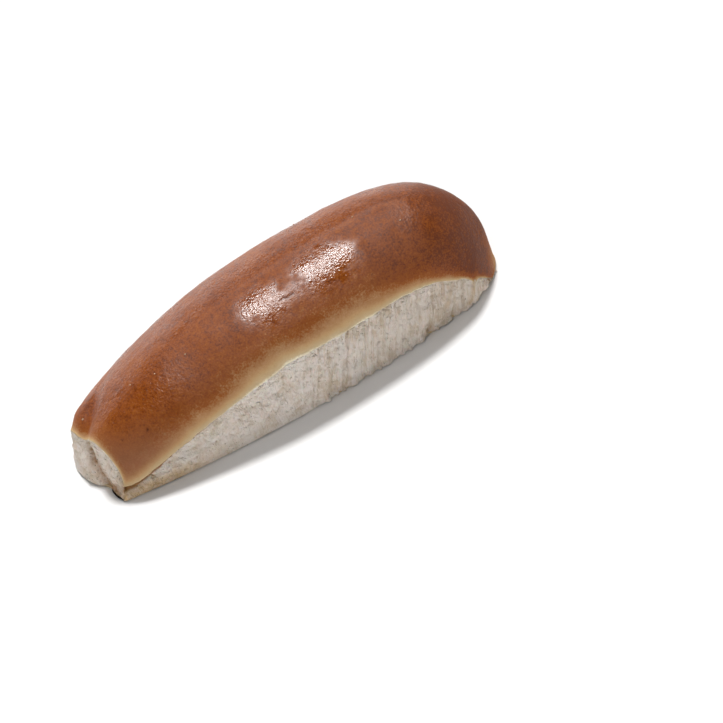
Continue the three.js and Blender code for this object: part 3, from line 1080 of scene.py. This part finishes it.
def strew(name, surface, tree, values, material):
    """A plain mesh of the shreds that the tree strews over a copy of the surface."""
    carrier = bpy.data.objects.new(name, surface.data.copy())
    bpy.context.scene.collection.objects.link(carrier)
    modifier = carrier.modifiers.new("shreds", "NODES")
    modifier.node_group = tree
    sockets = {item.name: item.identifier for item in tree.interface.items_tree if item.in_out == "INPUT"}
    for socket_name, value in {**values, "Material": material}.items():
        modifier[sockets[socket_name]] = value
    ready = carrier.evaluated_get(bpy.context.evaluated_depsgraph_get())
    mesh = bpy.data.meshes.new_from_object(ready)
    carrier.modifiers.remove(modifier)
    carrier.data = mesh
    mesh.polygons.foreach_set("use_smooth", np.ones(len(mesh.polygons), dtype=bool))
    mesh.materials.clear()
    mesh.materials.append(material)
    if len(mesh.polygons) == 0:
        raise RuntimeError(f"{name} came out empty")
    return carrier


# ---- Operators ----


class BUN_OT_add_crust(bpy.types.Operator):
    """Builds the glossy brown crust over the top"""

    bl_idname = "bun.add_crust"
    bl_label = "Add crust"

    def execute(self, context):
        material = crust_material(context.scene.bun_colours)
        hand_over(build_crust(context.scene.bun_sizes, material))
        return {"FINISHED"}


class BUN_OT_add_crumb(bpy.types.Operator):
    """Builds the crumb, torn on both long sides and the left end"""

    bl_idname = "bun.add_crumb"
    bl_label = "Add crumb"

    def execute(self, context):
        material = crumb_material("bun_crumb", context.scene.bun_colours, CRUMB_TRANSLUCENCE)
        hand_over(build_crumb(context.scene.bun_sizes, material))
        return {"FINISHED"}


class BUN_OT_add_base(bpy.types.Operator):
    """Builds the thin golden crust underneath"""

    bl_idname = "bun.add_base"
    bl_label = "Add base crust"

    def execute(self, context):
        material = base_material(context.scene.bun_colours)
        hand_over(build_base(context.scene.bun_sizes, material))
        return {"FINISHED"}


class BUN_OT_add_shreds(bpy.types.Operator):
    """Strews shreds of crumb over the torn faces, and sinks a few pale specks in the crust"""

    bl_idname = "bun.add_shreds"
    bl_label = "Add shreds and specks"

    def execute(self, context):
        sizes = context.scene.bun_sizes
        tree = shred_tree()
        crumb = bpy.data.objects["crumb"]
        material = crumb_material("bun_shreds", context.scene.bun_colours, 0.0)
        values = {
            "Density": sizes.shred_density,
            "Length": sizes.shred_length,
            "Seed": sizes.seed,
            "Weight name": "torn",
        }
        hand_over(strew("crumb_shreds", crumb, tree, values, material))
        hand_over(build_specks(material))
        return {"FINISHED"}


# The camera: where it looks from, in degrees and millimetres, and where it sees the bun's middle.
CAMERA = {
    "azimuth": -12.2,
    "elevation": 37.7,
    "roll": 21.8,
    "distance": 800.0,
    "aim": (0.0, 0.0, 20.0),
    "aim_pixel": (274.7, 322.1),
    "pixels_per_mm": 3.147,
    "frame_pixels": 723.0,
}
SENSOR = 36.0

# The key casts the shadow, and the fill reaches under the crust's edge.
KEY = {"towards": (0.16, 0.34, 0.93), "strength": 2.75, "spread": 9.0}
FILL = {"towards": (-0.62, -0.74, 0.26), "strength": 0.45, "spread": 50.0}

# White cards that only the gloss shows: one behind the bun, and two strips over it for the highlights.
# Each has its name, place, aim, size and power.
CARDS = (
    ("card_behind", (0.1, 1.4, 0.5), (0.0, 0.0, 0.0), (2.4, 1.0), 18.0),
    ("strip_right", (0.069, -0.036, 0.285), (0.018, -0.013, 0.041), (0.024, 0.1), 2.1),
    ("strip_left", (-0.014, -0.034, 0.289), (-0.005, -0.013, 0.039), (0.02, 0.08), 1.15),
)
SUN_AWAY = 2.0
WORLD_STRENGTH = 0.29
FLOOR_COLOUR = (0.93, 0.93, 0.93, 1.0)
FLOOR_HALF = 3.0


def add_camera():
    azimuth, elevation = math.radians(CAMERA["azimuth"]), math.radians(CAMERA["elevation"])
    roll = math.radians(CAMERA["roll"])
    level = Vector((math.cos(azimuth), math.sin(azimuth), 0.0))
    back = Vector(
        (
            math.sin(azimuth) * math.cos(elevation),
            -math.cos(azimuth) * math.cos(elevation),
            math.sin(elevation),
        )
    )
    upright = back.cross(level)
    right = math.cos(roll) * level - math.sin(roll) * upright
    up = math.sin(roll) * level + math.cos(roll) * upright
    aim = Vector(to_metres(CAMERA["aim"]))
    location = aim + back * CAMERA["distance"] * MM

    # Turn the camera a little, so that the aim point falls on its pixel.
    focal_pixels = CAMERA["pixels_per_mm"] * CAMERA["distance"]
    middle = CAMERA["frame_pixels"] / 2.0
    dx, dy = middle - CAMERA["aim_pixel"][0], middle - CAMERA["aim_pixel"][1]
    forward = (-back * focal_pixels + right * dx - up * dy).normalized()
    right = (right - forward * right.dot(forward)).normalized()
    up = right.cross(forward)
    camera = bpy.data.cameras.new("camera")
    camera.sensor_width = SENSOR
    camera.lens = SENSOR * focal_pixels / CAMERA["frame_pixels"]
    camera.clip_start, camera.clip_end = 0.01, 50.0
    holder = bpy.data.objects.new("camera", camera)
    rotation = Matrix((right, up, -forward)).transposed().to_4x4()
    holder.matrix_world = Matrix.Translation(location) @ rotation
    bpy.context.scene.collection.objects.link(holder)
    bpy.context.scene.camera = holder


def place_light(light, location, shines):
    """Adds a light at a place, turned the way that it shines."""
    holder = bpy.data.objects.new(light.name, light)
    holder.location = location
    holder.rotation_euler = shines.to_track_quat("-Z", "Y").to_euler()
    bpy.context.scene.collection.objects.link(holder)
    return holder


def add_sun(name, settings):
    """A soft sun that the gloss doesn't show."""
    light = bpy.data.lights.new(name, "SUN")
    light.energy = settings["strength"]
    light.angle = math.radians(settings["spread"])
    towards = Vector(settings["towards"]).normalized()
    place_light(light, towards * SUN_AWAY, -towards).visible_glossy = False


def add_card(name, place, aim, size, power):
    """A white card that shows only where something mirrors it."""
    light = bpy.data.lights.new(name, "AREA")
    light.shape = "RECTANGLE"
    light.size, light.size_y = size
    light.energy = power
    holder = place_light(light, place, Vector(aim) - Vector(place))
    holder.visible_camera = False
    holder.visible_diffuse = False


def add_lights():
    add_sun("key", KEY)
    add_sun("fill", FILL)
    for card in CARDS:
        add_card(*card)
    world = bpy.data.worlds.new("white_room")
    world.use_nodes = True
    background = world.node_tree.nodes["Background"]
    background.inputs["Color"].default_value = (1.0, 1.0, 1.0, 1.0)
    background.inputs["Strength"].default_value = WORLD_STRENGTH
    bpy.context.scene.world = world


def add_floor():
    corners = [(x * FLOOR_HALF, y * FLOOR_HALF, 0.0) for x, y in ((-1, -1), (1, -1), (1, 1), (-1, 1))]
    mesh = bpy.data.meshes.new("floor")
    mesh.from_pydata(corners, [], [(0, 1, 2, 3)])
    material, _, principled = new_material("pale_floor", {"Specular IOR Level": 0.0, "Roughness": 0.9})
    principled.inputs["Base Color"].default_value = FLOOR_COLOUR
    mesh.materials.append(material)
    floor = bpy.data.objects.new("floor", mesh)
    bpy.context.scene.collection.objects.link(floor)


class BUN_OT_add_stage(bpy.types.Operator):
    """Adds the pale floor, the soft lights and the camera"""

    bl_idname = "bun.add_stage"
    bl_label = "Add stage"

    def execute(self, context):
        add_floor()
        add_lights()
        add_camera()
        context.scene.view_settings.view_transform = "Standard"
        return {"FINISHED"}


class BUN_PT_panel(bpy.types.Panel):
    """Lists the bun's sizes, colours and pieces"""

    bl_idname = "BUN_PT_panel"
    bl_label = "Hot dog bun"
    bl_space_type = "VIEW_3D"
    bl_region_type = "UI"
    bl_category = "Bun"

    def draw(self, context):
        for group in (context.scene.bun_sizes, context.scene.bun_colours):
            box = self.layout.box()
            for name in group.bl_rna.properties.keys():
                if name not in {"rna_type", "name"}:
                    box.prop(group, name)
        for operator in OPERATORS:
            self.layout.operator(operator.bl_idname)


OPERATORS = (BUN_OT_add_crust, BUN_OT_add_crumb, BUN_OT_add_base, BUN_OT_add_shreds, BUN_OT_add_stage)
CLASSES = (BunSizes, BunColours, *OPERATORS, BUN_PT_panel)


def register():
    for made in CLASSES:
        bpy.utils.register_class(made)
    bpy.types.Scene.bun_sizes = PointerProperty(type=BunSizes)
    bpy.types.Scene.bun_colours = PointerProperty(type=BunColours)


def unregister():
    del bpy.types.Scene.bun_colours
    del bpy.types.Scene.bun_sizes
    for made in reversed(CLASSES):
        bpy.utils.unregister_class(made)


def main():
    register()
    bpy.ops.bun.add_crust()
    bpy.ops.bun.add_crumb()
    bpy.ops.bun.add_base()
    bpy.ops.bun.add_shreds()
    bpy.ops.bun.add_stage()


if __name__ == "__main__":
    main()
